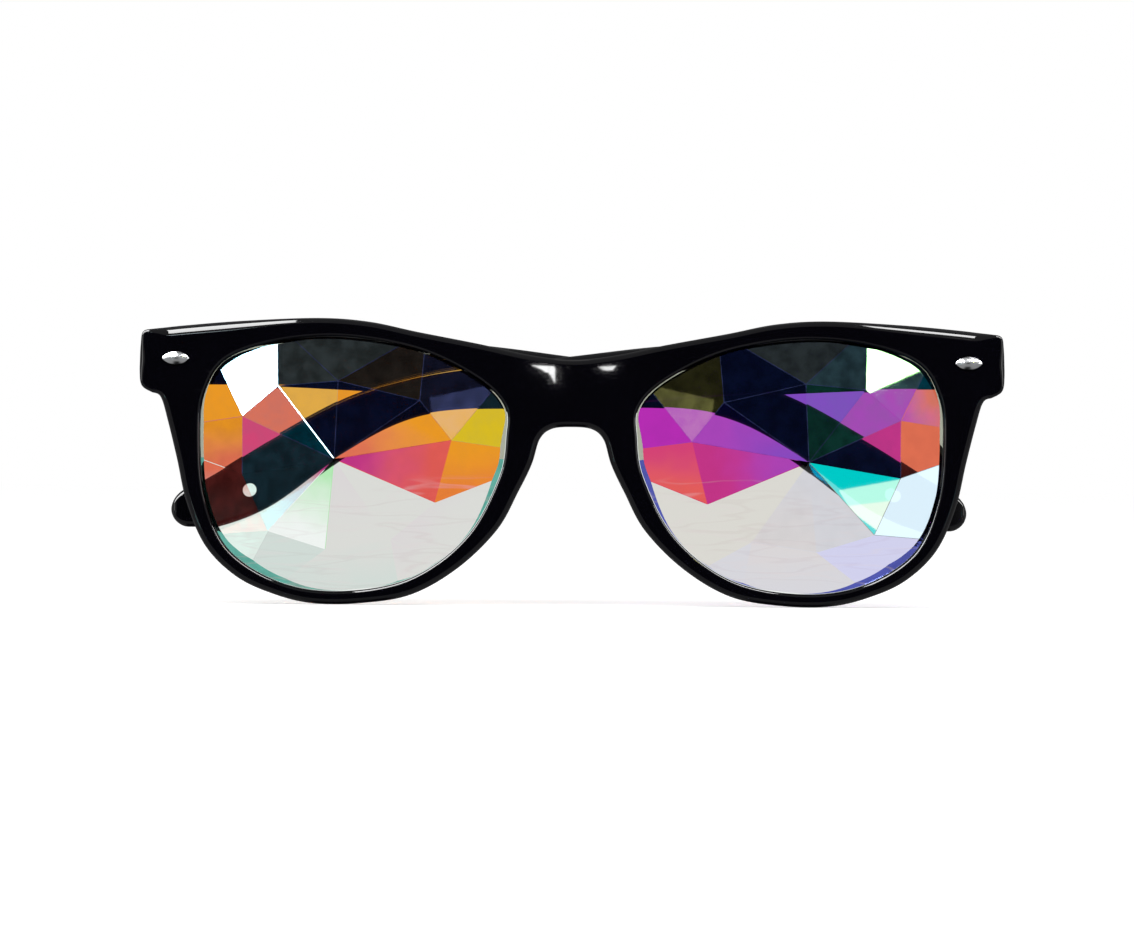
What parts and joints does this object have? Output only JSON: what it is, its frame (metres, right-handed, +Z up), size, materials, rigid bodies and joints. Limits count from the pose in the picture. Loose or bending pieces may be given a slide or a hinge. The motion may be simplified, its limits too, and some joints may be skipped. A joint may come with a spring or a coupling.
{
  "type": "party glasses",
  "caption": "Folding party glasses: a black moulded front with rounded-square rims, faceted rainbow prism lenses, oval metal studs and black temples folded behind.",
  "frame": {"origin": "the nose saddle: the underside of the bridge arch on the middle plane, at the middle of the rims' depth", "axes": "+X runs along the front to the right as seen in the picture, -Y is the way the lenses face, +Z is up as the glasses are worn"},
  "size_m": [0.1464, 0.0192, 0.0485],
  "materials": {
    "frame_plastic": "polished black moulded plastic with a faint violet cast",
    "left_lens_glass": "faceted glass with a rainbow interference coating: amber, coral, rose, teal and mint by facet",
    "right_lens_glass": "faceted glass with a rainbow interference coating: violet, magenta, coral, turquoise and lavender by facet",
    "polished_metal": "polished silver metal",
    "hinge_steel": "plain steel hinge hardware"
  },
  "bodies": {
    "front": {"front_frame": "frame_plastic", "left_lens": "left_lens_glass", "right_lens": "right_lens_glass", "left_front_stud": "polished_metal", "right_front_stud": "polished_metal", "left_front_hinge_leaf": "hinge_steel", "right_front_hinge_leaf": "hinge_steel", "left_front_leaf_rivets": "hinge_steel", "right_front_leaf_rivets": "hinge_steel", "left_hinge_screw": "hinge_steel", "right_hinge_screw": "hinge_steel"},
    "left_temple_arm": {"left_temple": "frame_plastic", "left_temple_stud": "polished_metal", "left_temple_hinge_leaf": "hinge_steel", "left_temple_leaf_rivets": "hinge_steel"},
    "right_temple_arm": {"right_temple": "frame_plastic", "right_temple_stud": "polished_metal", "right_temple_hinge_leaf": "hinge_steel", "right_temple_leaf_rivets": "hinge_steel"}
  },
  "joints": [
    {"name": "left_temple_fold", "type": "hinge", "parent": "front", "child": "left_temple_arm", "pos_m": [-0.06735, 0.0052, 0.011], "axis": [0, 0, 1], "range_deg": [0, 89.84]},
    {"name": "right_temple_fold", "type": "hinge", "parent": "front", "child": "right_temple_arm", "pos_m": [0.06735, 0.0052, 0.011], "axis": [0, 0, -1], "range_deg": [0, 93.16]}
  ]
}
